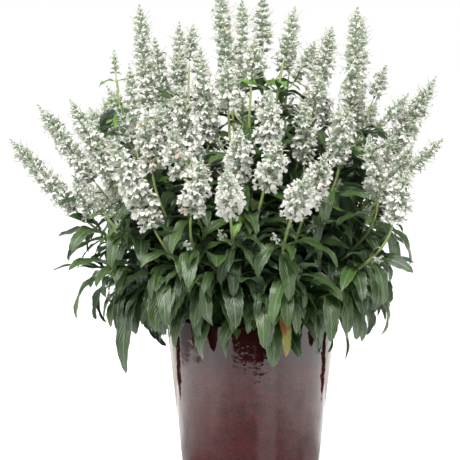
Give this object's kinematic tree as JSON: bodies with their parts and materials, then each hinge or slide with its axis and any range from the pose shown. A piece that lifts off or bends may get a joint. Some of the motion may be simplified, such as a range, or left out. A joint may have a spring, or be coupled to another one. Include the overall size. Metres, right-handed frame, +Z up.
{
  "type": "potted perennial salvia",
  "caption": "Bushy perennial salvia with upright spikes of white two-lipped florets over arching leaves, in a tall tapered glazed pot.",
  "frame": {"origin": "centre of the pot's flat underside", "axes": "+Z up along the pot's axis; -Y is the side seen from the front and +X is its right"},
  "size_m": [0.52, 0.4332, 0.622],
  "materials": {
    "glaze": "glossy dark red-brown ceramic glaze with fine speckle",
    "potting_mix": "rough dark potting mix",
    "leaf": "dark green leaf with a soft sheen",
    "stem": "light green stem",
    "calyx": "felted grey-green",
    "petal": "soft white petal"
  },
  "bodies": {
    "root": {"pot": "glaze", "potting_mix": "potting_mix", "leafy_stems_01": "leaf", "leafy_stems_02": "leaf", "leafy_stems_03": "leaf", "leafy_stems_04": "leaf", "leafy_stems_05": "leaf", "leafy_stems_06": "leaf", "leafy_stems_07": "leaf", "leafy_stems_08": "leaf", "leafy_stems_09": "leaf", "leafy_stems_10": "leaf", "leafy_stems_11": "leaf", "leafy_stems_12": "leaf", "flower_spike_01": "petal", "flower_spike_02": "petal", "flower_spike_03": "petal", "flower_spike_04": "petal", "flower_spike_05": "petal", "flower_spike_06": "petal", "flower_spike_07": "petal", "flower_spike_08": "petal", "flower_spike_09": "petal", "flower_spike_10": "petal", "flower_spike_11": "petal", "flower_spike_12": "petal", "flower_spike_13": "petal", "flower_spike_14": "petal", "flower_spike_15": "petal", "flower_spike_16": "petal", "flower_spike_17": "petal", "flower_spike_18": "petal", "flower_spike_19": "petal", "flower_spike_20": "petal", "flower_spike_21": "petal", "flower_spike_22": "petal", "flower_spike_23": "petal", "flower_spike_24": "petal", "flower_spike_25": "petal", "flower_spike_26": "petal", "flower_spike_27": "petal", "flower_spike_28": "petal", "flower_spike_29": "petal", "flower_spike_30": "petal", "flower_spike_31": "petal", "flower_spike_32": "petal", "flower_spike_33": "petal", "flower_spike_34": "petal", "flower_spike_35": "petal", "flower_spike_36": "petal", "flower_spike_37": "petal", "flower_spike_38": "petal", "flower_spike_39": "petal", "flower_spike_40": "petal", "flower_spike_41": "petal", "flower_spike_42": "petal", "flower_spike_43": "petal", "flower_spike_44": "petal", "flower_spike_45": "petal", "flower_spike_46": "petal"}
  },
  "joints": []
}
